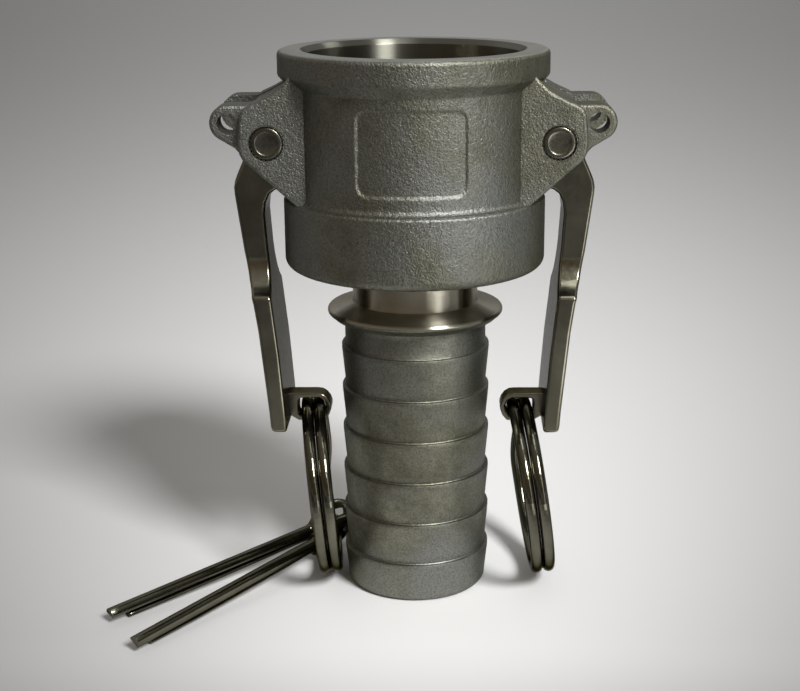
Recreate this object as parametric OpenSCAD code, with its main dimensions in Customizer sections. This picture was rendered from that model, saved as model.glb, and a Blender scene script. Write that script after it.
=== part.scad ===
// Cam and groove coupler with a barbed hose shank, 1 inch size, cast stainless steel.
// The origin is on the coupler's axis at the shank's end face, +Z up to the mouth.
// The levers swing in the XZ plane, and the closed rest position is modelled.

/* [Cup] */
// Bore that takes the grooved adapter
bore_d = 37.2; // [36.8:0.1:37.6]
// Outside of the rim bead round the mouth
rim_d = 47.8; // [47:0.1:50]
// Outside of the cup's straight middle
cup_d = 44; // [43.4:0.1:45]
// Outside of the thicker band round the gasket
band_d = 46.8; // [46:0.1:48]
// Height of the cup from its underside to the rim
cup_h = 38.4; // [38:0.1:41]
// Height of the rim bead
rim_h = 4.3; // [3.6:0.1:4.8]
// Height of the cone that leads from the bead in to the cup
rim_under = 1.8; // [1.4:0.1:2.2]
// Height of the gasket band
band_h = 12.6; // [11.6:0.1:13]
// Rounding of the band's lower corner
band_round = 1.8; // [0.6:0.1:2.4]
// Lead-in chamfer at the mouth
mouth_chamfer = 1.15; // [0.5:0.05:1.6]
// Radius by which the guide land at the mouth is wider than the bore below
mouth_relief = 0.25; // [0.2:0.05:0.4]
// Height of the guide land at the mouth, above the cams, with its chamfer
land_h = 9.4; // [8.4:0.1:10]
// Thickness of the cup's floor under the gasket
floor_t = 2.6; // [2.2:0.1:3]

/* [Cast panel on the front] */
// Width of the recessed panel
panel_w = 18.8; // [16:0.2:22]
// Height of the recessed panel
panel_h = 14.6; // [10:0.2:15]
// Rounding of the panel's corners
panel_corner = 2; // [1:0.1:3]
// Depth of the recess
panel_deep = 0.35; // [0.2:0.05:0.5]
// Height of the panel's middle above the cup's underside
panel_z = 22.9; // [22:0.1:24]

/* [Gasket] */
// Inner diameter of the gasket
gasket_inner_d = 27; // [25:0.1:28]
// Outer diameter of the gasket
gasket_outer_d = 39.7; // [39:0.1:40]
// Thickness of the gasket
gasket_t = 6.35; // [5.5:0.05:6.5]
// Clearance round the gasket in its groove
gasket_gap = 0.25; // [0.1:0.05:0.3]

/* [Neck and shank] */
// Turned neck between the cup and the flange
neck_d = 22.8; // [22.6:0.1:25]
// Visible length of the neck, with its shoulder under the cup
neck_len = 6.8; // [6:0.1:9]
// Shoulder of the neck under the cup
shoulder_d = 26; // [25.4:0.1:28]
// Length of that shoulder
shoulder_len = 2.4; // [1:0.1:3]
// Hose stop flange
flange_d = 32; // [30:0.1:34]
// Thickness of the flange, with its conical top
flange_t = 3.4; // [3:0.1:4.5]
// Shank length below the flange
shank_len = 51.4; // [50.5:0.1:53]
// Bore through the shank
through_d = 20; // [18:0.1:21]
// Diameter over the barbs
barb_d = 27.1; // [26.6:0.1:28]
// Diameter at the root of the barbs
root_d = 25.8; // [25:0.1:26]
// Number of barbs
barb_count = 6; // [3:1:6]
// Spacing of the barbs
barb_pitch = 7.84; // [7.2:0.02:8]

/* [Ears] */
// Distance from the axis to the lever pivots
pivot_x = 25; // [24.8:0.1:25.6]
// Height of the pivots above the cup's underside
pivot_h = 23.4; // [23:0.1:24]
// Distance between the ears' outer flat faces
ears_w = 24; // [23:0.1:25]
// Slot between the ears that takes the lever
ears_gap = 9.5; // [9.3:0.1:10]
// Step from an ear's face back to its lug
lug_step = 2; // [0.6:0.1:2.4]
// Radius of the lug round its hole
lug_r = 3.1; // [2.8:0.05:3.4]
// Hole in the lug for a safety pin
lug_hole_d = 3.5; // [3.3:0.05:3.7]
// Width of the bevel along the ears' and lugs' edges
ear_bevel = 0.5; // [0.2:0.05:0.8]
// Height of the bevel along the ears' top edges
ear_top_bevel = 0.85; // [0.4:0.05:1]

/* [Levers] */
// Side clearance of the lever in its slot
lever_gap = 0.25; // [0.15:0.05:0.35]
// Hub radius round the pivot
hub_r = 5.4; // [5:0.1:5.6]
// How far the closed cam stands into the bore
cam_reach = 2.6; // [2:0.1:3]
// Nose radius of the cam
cam_r = 3.2; // [2.8:0.1:3.6]
// Lever length from the pivot to its free end
arm_len = 53.1; // [52:0.1:54]
// Width of the handle
handle_w = 18.6; // [17:0.1:21]
// Radius of the scoop where the arm widens into the handle
scoop_r = 7.4; // [6.2:0.1:9]

/* [Lever eyes] */
// Width of the eye along the hole
eye_w = 4; // [3:0.1:5]
// Length of the eye's hole
eye_hole_len = 5.2; // [5:0.1:6]
// Height of the eye's hole
eye_hole_h = 3.4; // [3.2:0.1:3.6]
// Thickness of the strap round the hole
eye_t = 0.95; // [0.8:0.05:1.2]

/* [Lever pins] */
// Diameter of the lever pins
pin_d = 6; // [5.6:0.1:6]
// Length of the splined end in each ear
spline_len = 6; // [4:0.1:7]
// Number of splines
spline_count = 24; // [16:1:30]
// Depth of the splines
spline_deep = 0.2; // [0.1:0.05:0.3]
// Running clearance on radius in the lever
pin_run = 0.05; // [0.03:0.01:0.08]
// How far the pin's ends lie below the ears' faces
pin_sink = 0.3; // [0.1:0.05:0.6]

/* [Pull rings] */
// Outside diameter of the split rings
ring_od = 34; // [30:0.5:34]
// Wire diameter of the split rings
ring_wire = 2.2; // [2:0.05:2.3]
// Lean of the left ring, inwards
ring_lean_left = -5; // [-6:0.5:0]
// Lean of the right ring, outwards
ring_lean_right = 8; // [0:0.5:10]
// Turn of the left ring about its own upright line
ring_turn_left = 5; // [0:0.5:6]
// Turn of the right ring about its own upright line
ring_turn_right = 3; // [0:0.5:6]

/* [Safety pins] */
// Diameter over the two legs of a safety pin
safety_d = 3; // [2.6:0.1:3.2]
// Inside diameter of a safety pin's eye
safety_eye = 8; // [7.4:0.1:8.6]
// Length of the long leg from the middle of the eye
safety_len = 50.4; // [46:0.2:52]
// How much shorter the second leg is
safety_short = 3.6; // [2:0.2:6]

/* [Hidden] */
$fn = 64;
eps = 0.01;

// Heights
flange_z = shank_len;
neck_z = flange_z + flange_t;
cup_z = neck_z + neck_len;
rim_z = cup_z + cup_h;
seat_z = cup_z + floor_t;
pivot_z = cup_z + pivot_h;

// Radii
bore_r = bore_d / 2;
cup_r = cup_d / 2;
band_r = band_d / 2;
rim_r = rim_d / 2;
neck_r = neck_d / 2;
flange_r = flange_d / 2;
barb_r = barb_d / 2;
root_r = root_d / 2;
groove_r = gasket_outer_d / 2 + gasket_gap;
groove_h = gasket_t + gasket_gap;
pin_r = pin_d / 2;
land_r = bore_r + mouth_relief;
land_z = rim_z - land_h;

// Points on an arc, in the plane of a profile
function arc(x, y, r, from, to, steps = 6) =
    [for (i = [0 : steps]) let (a = from + (to - from) * i / steps) [x + r * cos(a), y + r * sin(a)]];

// Body: one casting, with its bore, groove, neck and flange turned

rim_round = 0.9;
under_round = 0.8;
under_turn = atan2(rim_r - cup_r, rim_under);
under_z = rim_z - rim_h - rim_under;
barb_land = 0.8;
barb_top_z = flange_z - 4.7;
flange_edge = 1.25;
foot_round = 1.3;
foot_break = 0.4;

// Outline of one barb, from its upper edge down along its taper
function barb(k) = let (z = barb_top_z - k * barb_pitch) [
    [root_r, z + 0.12],
    [barb_r - 0.15, z + 0.06],
    [barb_r, z - 0.12],
    [barb_r, z - barb_land],
];

// Half section of the body's outside, from the mouth down to the foot
function body_outline() = concat(
    [[0, rim_z]],
    arc(rim_r - rim_round, rim_z - rim_round, rim_round, 90, 0),
    arc(rim_r - under_round, rim_z - rim_h + under_round * tan(under_turn / 2), under_round,
        0, -under_turn, 4),
    [[cup_r + 0.2, under_z + 0.2], [cup_r + 0.15, under_z], [cup_r, under_z - 0.25]],
    [[cup_r, cup_z + band_h + 1.3]],
    [[cup_r + 0.15, cup_z + band_h + 0.75]],
    arc(band_r - 0.6, cup_z + band_h - 0.6, 0.6, 75, 0, 4),
    arc(band_r - band_round, cup_z + band_round, band_round, 0, -90),
    [[shoulder_d / 2, cup_z], [shoulder_d / 2, cup_z - shoulder_len + 0.2]],
    [[shoulder_d / 2 - 0.2, cup_z - shoulder_len], [neck_r, cup_z - shoulder_len]],
    [[neck_r, neck_z + 0.25], [neck_r + 0.25, neck_z]],
    [[flange_r - 0.7, neck_z - 1.05]],
    arc(flange_r - flange_edge / 2, neck_z - 1.05 - flange_edge / 2, flange_edge / 2, 75, -80, 6),
    [[flange_r - 1.6, flange_z + 0.3], [root_r + 0.5, flange_z], [root_r + 0.1, flange_z - 0.5]],
    [[root_r, flange_z - 1.2]],
    [for (k = [0 : barb_count - 1]) each barb(k)],
    [[root_r + 0.1, foot_round + 0.3]],
    arc(root_r + 0.1 - foot_round, foot_round, foot_round, 0, -90),
    [[0, 0]]
);

// Half section of everything bored out of the body
function body_hollow() = concat(
    [[0, -1], [through_d / 2 + foot_break, -1], [through_d / 2 + foot_break, 0]],
    [[through_d / 2, foot_break]],
    [[through_d / 2, seat_z], [groove_r, seat_z], [groove_r, seat_z + groove_h]],
    [[bore_r, seat_z + groove_h], [bore_r, land_z], [land_r, land_z]],
    [[land_r, rim_z - mouth_chamfer + mouth_relief]],
    [[bore_r + mouth_chamfer, rim_z], [bore_r + mouth_chamfer, rim_z + 1], [0, rim_z + 1]]
);

// Upper edge of an ear, measured from the pivot: x outwards, y up
ear_top = [
    [-4.2, 11.35], [-3.5, 10.5], [-1.7, 8.8], [0.9, 7.35], [3.0, 6.4], [4.0, 5.7], [4.5, 4.6],
];

// Outline of an ear, measured from the pivot
ear_outline = concat(
    [[-8, 11.6]],
    ear_top,
    [[4.8, 2], [4.9, 0], [4.7, -1.8], [4.1, -3.0], [2.8, -4.1], [-4.9, -10.9], [-8, -13.7]]
);

// Middle of the lug's hole, measured from the pivot
lug_at = [6.85, 3.2];

function lug_outline() = concat(
    [[0, 6.1], [3.3, 6.3], [5.4, 6.3]],
    arc(lug_at[0], lug_at[1], lug_r, 90, -55, 8),
    [[5.7, -1.1], [4.4, -2.6], [0, -4]]
);

// A flat shape in the lever's side plane, raised evenly about the plane y = 0
module side_extrude(width) {
    rotate([90, 0, 0]) translate([0, 0, -width / 2]) linear_extrude(width) children();
}

// Repeats a shape drawn for the right side on the chosen side
module on_side(side) {
    if (side > 0) children();
    else mirror([1, 0, 0]) children();
}

// Cuts a bevel along every edge of an outline that lies on the plane z = 0: wide across the face
// and deep below it
module edge_bevels(points, wide, deep) {
    over = 0.2;
    for (i = [0 : len(points) - 2]) {
        a = points[i];
        b = points[i + 1];
        way = b - a;
        run = norm(way);
        translate([a[0], a[1], 0])
            rotate([0, 0, atan2(way[1], way[0])])
            translate([-wide * 0.3, 0, 0])
            rotate([90, 0, 90])
            linear_extrude(run + wide * 0.6)
            polygon([[-wide, over], [-wide, 0], [0, -deep], [over, -deep], [over, over]]);
    }
}

// Carries a flat cut to the outer face of each of a side's two ears, that lies half out from the middle
module on_faces(half) {
    for (s = [-1, 1])
        scale([1, s, 1]) translate([0, -half, 0]) rotate([90, 0, 0]) children();
}

hub_clear = 0.5;
web_clear = 0.9;
cam_clear = 0.45;
pin_break = 0.25;

// One side's pair of ears with their lugs and the web that joins them over the hub
module ear_pair() {
    translate([pivot_x, 0, pivot_z]) {
        difference() {
            union() {
                side_extrude(ears_w) polygon(ear_outline);
                side_extrude(ears_w - 2 * lug_step) polygon(lug_outline());
            }
            side_extrude(ears_gap) square(60, center = true);
            side_extrude(ears_w + 2) translate(lug_at) circle(d = lug_hole_d);
            on_faces(ears_w / 2) {
                edge_bevels([for (i = [1 : len(ear_top) - 1]) ear_top[i]], ear_top_bevel, ear_bevel);
                edge_bevels([for (i = [len(ear_top) : len(ear_outline) - 2]) ear_outline[i]],
                    ear_bevel, ear_bevel);
            }
            on_faces(ears_w / 2 + eps)
                mirror([0, 0, 1]) cylinder(r1 = pin_r + pin_break, r2 = pin_r, h = pin_break);
        }
        web();
    }
}

// Hole drilled through both ears, and through whatever stands between them, for the lever's pin
module pin_bore() {
    translate([pivot_x, 0, pivot_z]) side_extrude(ears_w + 2) circle(r = pin_r);
}

// Web over the hub, between the ears, with its underside concentric with the pivot
module web() {
    difference() {
        side_extrude(ears_gap + 1) polygon([[-8, 11.4], [-4.2, 11.15], [-3.5, 10.3], [-1.7, 8.6],
            [0.9, 7.15], [2.7, 6.35], [3.2, 5.9], [3.2, 3.6], [-8, 3.6]]);
        side_extrude(ears_gap + 3) circle(r = hub_r + web_clear);
    }
}

// Window in the cup's wall that lets the cam through
module cam_window() {
    sweep_r = pivot_x - bore_r + cam_reach + cam_clear;
    window_top = hub_r - 0.2;
    translate([pivot_x, 0, pivot_z]) {
        side_extrude(ears_gap) circle(r = hub_r + hub_clear);
        difference() {
            side_extrude(ears_gap) circle(r = sweep_r);
            translate([0, 0, window_top + sweep_r])
                cube([4 * sweep_r, 2 * ears_gap, 2 * sweep_r], center = true);
        }
    }
}

// Rounded rectangle
module round_rect(w, h, r) {
    square([w - 2 * r, h], center = true);
    square([w, h - 2 * r], center = true);
    for (x = [-1, 1], y = [-1, 1])
        translate([x * (w / 2 - r), y * (h / 2 - r)]) circle(r = r, $fn = 24);
}

// Recess of the cast panel: the part of the panel's block outside a slightly smaller cylinder
module panel_recess() {
    translate([0, 0, cup_z + panel_z])
        difference() {
            rotate([90, 0, 0]) linear_extrude(cup_r + 1) round_rect(panel_w, panel_h, panel_corner);
            cylinder(r = cup_r - panel_deep, h = panel_h + 2, center = true);
        }
}

module coupler_body() {
    color([0.42, 0.42, 0.39])
    difference() {
        union() {
            rotate_extrude($fn = 128) polygon(body_outline());
            for (side = [1, -1]) on_side(side) ear_pair();
        }
        rotate_extrude($fn = 128) polygon(body_hollow());
        for (side = [1, -1])
            on_side(side) {
                cam_window();
                pin_bore();
            }
        panel_recess();
    }
}

module gasket() {
    edge = 0.5;
    ri = gasket_inner_d / 2;
    ro = gasket_outer_d / 2;
    z0 = seat_z + gasket_gap / 2;
    z1 = z0 + gasket_t;
    color([0.09, 0.09, 0.09])
    rotate_extrude($fn = 128)
        polygon([[ri, z0 + edge], [ri + edge, z0], [ro - edge, z0], [ro, z0 + edge],
            [ro, z1 - edge], [ro - edge, z1], [ri + edge, z1], [ri, z1 - edge]]);
}

// Levers

lever_w = ears_gap - 2 * lever_gap;
cam_at = [bore_r - cam_reach + cam_r - pivot_x, 0.3];

// Angle between the line of centres and the tangents that join the hub to the cam's nose
cam_wrap = acos((hub_r - cam_r) / norm(cam_at));
cam_way = atan2(cam_at[1], cam_at[0]);
nose_low = 248;

// Arm and handle from below the hub, down the back, round the free end and up to the cam,
// measured from the pivot: x outwards, y up, drawn for a hub of drawn_hub and an arm of drawn_arm
drawn_hub = 5.4;
drawn_arm = 53.1;
arm_outline = [
    [5.2, -4.3], [6.1, -6.3], [6.85, -8.6], [6.8, -10.2], [6.3, -14], [5.45, -20.5], [4.55, -25.2],
    [3.6, -29], [2.85, -34.3], [2.35, -39.3], [1.9, -44.3], [1.4, -49.4], [1.2, -52.5], [0.7, -53.1],
    [-1.75, -53.1], [-1.5, -48.5], [-0.75, -38.5], [-0.2, -33], [0.4, -27.5],
    [1.15, -20], [1.55, -13.6], [1.3, -11.6], [0.6, -10.1], [-0.4, -9.35], [-1.7, -9.0],
    [-3.2, -7.6], [-5.4, -4.6],
];

// Outline of the whole lever, from the top of its hub round the arm to the cam's nose
function lever_outline() = concat(
    arc(0, 0, hub_r, cam_way - cam_wrap, -30, 20),
    [for (p = arm_outline) [p[0] * hub_r / drawn_hub, p[1] * arm_len / drawn_arm]],
    arc(cam_at[0], cam_at[1], cam_r, nose_low, cam_way - cam_wrap, 14)
);

// Front view of the lever: narrow between the ears, scooped out to the handle's width
function lever_front() = let (
        h = handle_w / 2,
        n = lever_w / 2,
        z = -20.8 * arm_len / drawn_arm,
        c = 0.7,
        b = 0.6,
        r = max(scoop_r, h - n),
        turn = acos(1 - (h - b / 2 - n) / r),
        foot = z - r * sin(turn)
    ) concat(
        [[-n, 12], [n, 12]],
        arc(n + r, z, r, 180, 180 + turn, 8),
        [[h, foot - b], [h, c - arm_len], [h - c, -arm_len]],
        [[c - h, -arm_len], [-h, c - arm_len], [-h, foot - b]],
        arc(-n - r, z, r, -turn, 0, 8)
    );

// Eye for the pull ring, measured from the middle of its hole
eye_mid = [-5.8, 2.55 - arm_len];

module eye_side() {
    l = eye_hole_len / 2 + eye_t;
    h = eye_hole_h / 2 + eye_t;
    polygon([[4.8, h], [-l + 2.6, h], [-l + 1.1, h - 0.45], [-l + 0.3, h - 1.5], [-l, h - 2.4],
        [-l + 0.25, -h + 1.7], [-l + 1.3, -h], [2.6, -h], [4.8, -h + 1.3]]);
}

module eye_hole() {
    l = eye_hole_len / 2;
    h = eye_hole_h / 2;
    polygon([[l, h - 0.4], [l - 0.4, h], [-l + 1.3, h], [-l + 0.4, h - 0.55], [-l, h - 1.5],
        [-l + 0.15, -h + 1], [-l + 0.8, -h], [l - 0.4, -h], [l, -h + 0.4]]);
}

module lever() {
    translate([pivot_x, 0, pivot_z])
        difference() {
            union() {
                intersection() {
                    side_extrude(handle_w) polygon(lever_outline());
                    rotate([90, 0, 90]) linear_extrude(80, center = true) polygon(lever_front());
                }
                translate([eye_mid[0], 0, eye_mid[1]]) side_extrude(eye_w) eye_side();
            }
            rotate([90, 0, 0]) cylinder(r = pin_r, h = lever_w + 2, center = true);
            translate([eye_mid[0], 0, eye_mid[1]]) side_extrude(eye_w + 2) eye_hole();
        }
}

module lever_left() {
    color([0.30, 0.30, 0.27]) on_side(-1) lever();
}

module lever_right() {
    color([0.30, 0.30, 0.27]) on_side(1) lever();
}

// Ends of a lever pin: a stepped edge and a broad shallow dish, part of a ball
end_h = 0.4;
end_in = 0.3;
dish_deep = 0.3;
dish_r = 2.1;

// Splined end of a lever pin
module splines(len) {
    n = spline_count;
    linear_extrude(len)
        polygon([for (i = [0 : 2 * n - 1]) let (r = i % 2 == 0 ? pin_r + 0.02 : pin_r - spline_deep)
            [r * cos(180 * i / n), r * sin(180 * i / n)]]);
}

module lever_pin() {
    half = ears_w / 2 - pin_sink;
    ball = (dish_r * dish_r + dish_deep * dish_deep) / (2 * dish_deep);
    translate([pivot_x, 0, pivot_z])
        rotate([90, 0, 0]) {
            cylinder(r = pin_r - pin_run, h = 2 * (half - spline_len) + 2 * eps, center = true);
            for (s = [-1, 1])
                rotate([90 - 90 * s, 0, 0])
                translate([0, 0, half - spline_len])
                difference() {
                    union() {
                        splines(spline_len - end_h);
                        cylinder(r = pin_r - end_in, h = spline_len);
                    }
                    translate([0, 0, spline_len - dish_deep + ball]) sphere(r = ball);
                }
        }
}

module lever_pin_left() {
    color([0.45, 0.45, 0.42]) on_side(-1) lever_pin();
}

module lever_pin_right() {
    color([0.45, 0.45, 0.42]) on_side(1) lever_pin();
}

// Sweeps: a closed section carried along rings of points, with flat ends
module tube(rings) {
    n = len(rings[0]);
    last = len(rings) - 1;
    polyhedron(
        points = [for (r = rings) each r],
        faces = concat(
            [[for (i = [0 : n - 1]) i]],
            [for (k = [0 : last - 1], i = [0 : n - 1])
                [k * n + i, (k + 1) * n + i, (k + 1) * n + (i + 1) % n, k * n + (i + 1) % n]],
            [[for (i = [n - 1 : -1 : 0]) last * n + i]]
        )
    );
}

// Split ring: two turns of wire side by side, crossing over in a short step

ring_r = (ring_od - ring_wire) / 2;
ring_half = ring_wire / 2 + 0.02;
cross_from = 332;
cross_to = 388;

// Sideways place of the wire at angle t along its two turns
function wire_side(t) =
    t < cross_from ? -ring_half
    : t > cross_to ? ring_half
    : -ring_half * cos(180 * (t - cross_from) / (cross_to - cross_from));

// Two-turn ring round the X axis, with its crossing at the given angle from the bottom
module split_ring(start) {
    sides = 12;
    steps = 64;
    t0 = cross_to - 360 + 4;
    t1 = cross_from + 360 - 4;
    tube([for (k = [0 : steps]) let (t = t0 + (t1 - t0) * k / steps, a = start + t)
        [for (i = [0 : sides - 1]) let (b = 360 * i / sides,
            r = ring_r + ring_wire / 2 * cos(b), w = wire_side(t) + ring_wire / 2 * sin(b))
            [w, r * sin(a), -r * cos(a)]]]);
}

// The ring's own frame: its wire passes through the middle of the lever's eye
eye_x = pivot_x + eye_mid[0];
eye_z = pivot_z + eye_mid[1];

module at_ring(side, lean, turn) {
    translate([side * eye_x, 0, eye_z])
        rotate([0, -side * lean, 0])
        rotate([0, 0, turn])
        translate([0, 0, -ring_r])
        children();
}

module pull_ring_left() {
    color([0.33, 0.32, 0.28]) at_ring(-1, ring_lean_left, ring_turn_left) split_ring(75);
}

module pull_ring_right() {
    color([0.33, 0.32, 0.28]) at_ring(1, ring_lean_right, ring_turn_right) split_ring(110);
}

// Safety pin: half round wire folded into an eye and two legs

safety_t = safety_d / 2;
safety_r = safety_eye / 2 + safety_t / 2;
leg_off = safety_t / 2 + 0.06;
neck_bend = 1.6;

// Points of the wire's path in the pin's own plane, with the way across the wire
function safety_path(spread) = let (
        c = safety_r + neck_bend,
        y = leg_off + neck_bend,
        x = sqrt(c * c - y * y),
        a = atan2(y, x),
        legs = 5,
        bow = function (u) spread * sin(180 * u)
    ) concat(
        [for (i = [0 : legs - 1]) let (u = 1 - i / legs)
            [x + (safety_len - x) * u, leg_off, 0, 1]],
        [for (i = [0 : 5]) let (b = -90 - (90 - a) * i / 5)
            [x + neck_bend * cos(b), y + neck_bend * sin(b), -cos(b), -sin(b)]],
        [for (i = [1 : 17]) let (b = a + (360 - 2 * a) * i / 18)
            [safety_r * cos(b), safety_r * sin(b), cos(b), sin(b)]],
        [for (i = [5 : -1 : 0]) let (b = 90 + (90 - a) * i / 5)
            [x + neck_bend * cos(b), -y + neck_bend * sin(b), -cos(b), -sin(b)]],
        [for (i = [1 : legs]) let (u = i / legs)
            [x + (safety_len - safety_short - x) * u, -leg_off - bow(u * 0.8), 0, -1]]
    );

// Half round section: across is the way out of the fold, side lies along the eye's axis
function half_round(p) = [for (i = [0 : 7]) let (b = -90 + 180 * i / 7,
        out = -safety_t / 2 + safety_t * cos(b), side = safety_d / 2 * 0.8 * sin(b))
    [p[0] + p[2] * out, p[1] + p[3] * out, side]];

// The pin lies along +X from the middle of its eye, and its eye turns about +Z
module safety_pin(spread) {
    tube([for (p = safety_path(spread)) half_round(p)]);
}

// Middle of the left ring's wire at an angle back from its lowest point
function left_ring_point(angle) = let (
        y = ring_r * sin(angle),
        z = -ring_r - ring_r * cos(angle),
        a = -y * sin(ring_turn_left),
        b = y * cos(ring_turn_left)
    ) [
        a * cos(ring_lean_left) + z * sin(ring_lean_left) - eye_x,
        b,
        z * cos(ring_lean_left) - a * sin(ring_lean_left) + eye_z,
    ];

// Carries a safety pin on the left ring at the given angle, its legs sloping down to the floor:
// way is its plan direction, roll its turn about its own length, inset the wire's place in its eye,
// and foot the height that its legs' line keeps at their ends
module on_left_ring(angle, way, roll, inset, foot) {
    at = left_ring_point(angle);
    drop = asin((at[2] - foot) / safety_len);
    translate(at)
        rotate([0, drop, way])
        rotate([roll, 0, 0])
        translate([inset[0], inset[1], 0])
        children();
}

module safety_pin_1() {
    color([0.35, 0.34, 0.30])
        on_left_ring(43, 222.2, 75, [-0.54, -1.71], 3.18) safety_pin(0.25);
}

module safety_pin_2() {
    color([0.35, 0.34, 0.30])
        on_left_ring(25.8, 231.4, 55, [0.26, 1.1], 0.86) safety_pin(1.0);
}

coupler_body();
gasket();
lever_left();
lever_right();
lever_pin_left();
lever_pin_right();
pull_ring_left();
pull_ring_right();
safety_pin_1();
safety_pin_2();
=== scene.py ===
"""Looks of the cam and groove coupler with a barbed hose shank."""
import math

import bmesh
import bpy
from mathutils import Matrix, Vector


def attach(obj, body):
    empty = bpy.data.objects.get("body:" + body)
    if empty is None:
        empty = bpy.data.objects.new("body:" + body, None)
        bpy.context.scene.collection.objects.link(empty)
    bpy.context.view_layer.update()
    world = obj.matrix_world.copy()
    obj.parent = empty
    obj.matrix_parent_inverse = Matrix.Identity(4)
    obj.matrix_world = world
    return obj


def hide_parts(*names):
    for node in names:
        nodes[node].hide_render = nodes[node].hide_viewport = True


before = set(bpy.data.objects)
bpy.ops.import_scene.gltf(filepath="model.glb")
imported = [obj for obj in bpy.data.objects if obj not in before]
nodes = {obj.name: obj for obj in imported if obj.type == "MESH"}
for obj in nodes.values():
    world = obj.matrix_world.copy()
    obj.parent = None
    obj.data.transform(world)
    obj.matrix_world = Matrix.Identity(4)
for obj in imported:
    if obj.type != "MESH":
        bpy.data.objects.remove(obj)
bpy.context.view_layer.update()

# Sizes of the casting in millimetres, from its foot up
MM = 0.001
THROUGH_R, FOOT_ROUND = 10.0, 1.3
BARB_R, ROOT_R, BARBS = 13.55, 12.9, 6
BARB_PITCH, BARB_TOP, BARB_LAND = 7.84, 46.7, 0.8
FLANGE_Z, FLANGE_R, FLANGE_LIP = 51.4, 16.0, 0.625
NECK_Z, NECK_R = 54.8, 11.4
SHOULDER_R, SHOULDER_H = 13.0, 2.4
CUP_Z, CUP_R = 61.6, 22.0
BAND_R, BAND_H, BAND_ROUND = 23.4, 12.6, 1.8
LEDGE_ROUND, LEDGE_HOLLOW = 0.6, 1.1
RIM_Z, RIM_R, RIM_H, RIM_UNDER = 100.0, 23.9, 4.3, 1.8
RIM_LOW_ROUND, RIM_TOP_ROUND = 0.8, 0.9
SEAT_Z, GROOVE_TOP, GROOVE_R = 64.2, 70.8, 20.1
BORE_R, LAND_R, LAND_Z, MOUTH = 18.6, 18.85, 90.6, 1.15

# The cast panel on the front, and the fine steps of the wall that carries it
PANEL_W, PANEL_H, PANEL_Z = 18.8, 14.6, 84.5
PANEL_R, PANEL_DEEP, PANEL_SLOPE = 2.0, 0.35, 0.55
WALL_FROM, WALL_STEP = 76.0, 0.2
FRONT_DEG, FRONT_STEPS, REST_STEPS = 62, 155, 200

# Ears, lugs and web: outlines in the XZ plane, measured from the lever's pin
PIVOT_X, PIVOT_Z, PIN_R = 25.0, 85.0, 3.0
EARS_W, EARS_GAP = 24.0, 9.5
EAR = [
    (-8, 11.6), (-4.2, 11.35), (-3.5, 10.5), (-1.7, 8.8), (0.9, 7.35), (3.0, 6.4), (4.0, 5.7),
    (4.5, 4.6), (4.8, 2), (4.9, 0), (4.7, -1.8), (4.1, -3.0), (2.8, -4.1), (-4.9, -10.9), (-8, -13.7),
]
WALL_INSIDE_X, EAR_END_WAY = 19.7, (7.25, 3.1, 0)
LUG_STEP, LUG_R, LUG_HOLE_R, LUG_AT = 2.0, 3.1, 1.75, (6.85, 3.2)
LUG_ABOVE = [(0, 6.1), (3.3, 6.3), (5.4, 6.3)]
LUG_BELOW = [(5.7, -1.1), (4.4, -2.6), (0, -4)]
WEB_W, WEB_HOLLOW = 10.5, 6.3
WEB_ABOVE = [(-4.7, 11.25), (-4.2, 11.15), (-3.5, 10.3), (-1.7, 8.6), (0.9, 7.15), (2.7, 6.35), (3.2, 5.9)]
WEB_FOOT = (-4.7, 5.2)
HUB_ROOM, CAM_ROOM, CAM_SLOT = 5.9, 9.45, 5.2

# The cam lever, measured from its pin
HUB_R, CAM_R, CAM_AT = 5.4, 3.2, (-5.8, 0.3)
LEVER_W, HANDLE_W, ARM_LEN = 9.0, 18.6, 53.1
FLARE_R, FLARE_END_R, FLARE_Z = 7.4, 1.2, -20.8
LEVER_SIDE = [
    (5.2, -4.3), (6.1, -6.3), (6.65, -7.7), (6.88, -8.9), (6.8, -10.2), (6.3, -14), (5.45, -20.5),
    (4.55, -25.2), (3.6, -29), (2.85, -34.3), (2.35, -39.3), (1.9, -44.3), (1.4, -49.4),
    (1.2, -52.5), (0.7, -53.1), (-1.75, -53.1), (-1.5, -48.5), (-0.75, -38.5), (-0.2, -33),
    (0.4, -27.5), (1.15, -20), (1.55, -13.6), (1.3, -11.6), (0.6, -10.1), (-0.4, -9.35),
    (-1.7, -9.0), (-3.2, -7.6), (-5.4, -4.6),
]
EYE_AT, EYE_HALF, EYE_WALL, EYE_W = (-5.8, -50.55), (2.6, 1.7), 0.95, 4.0

# The lever pin's splined and dished ends
SPLINE_CREST, SPLINE_ROOT, SPLINES = 3.02, 2.8, 24
DISC_R, DISH_R, DISH_DEEP = 2.7, 2.1, 0.3

# Pull rings: wire, and how each one hangs in its lever's eye, in degrees
WIRE, RING_R, WIRE_GAP = 2.2, 15.9, 1.12
RING_FROM, RING_TURNED, RING_STEPS = 32, 656, 176
CROSSING_FROM, CROSSING_TO = 332, 388
LEFT_LEAN, LEFT_TURN, LEFT_START = -5, 5, 75
RIGHT_LEAN, RIGHT_TURN, RIGHT_START = 8, 3, 110

# Safety pins: half round wire folded to an eye and two legs
SPLIT_THICK, SPLIT_HALF_W = 1.5, 1.2
SPLIT_APART, SPLIT_BEND, SPLIT_EYE_R = 0.81, 1.6, 4.75
SPLIT_LEN, SPLIT_SHORTER = 50.4, 3.6

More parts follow.
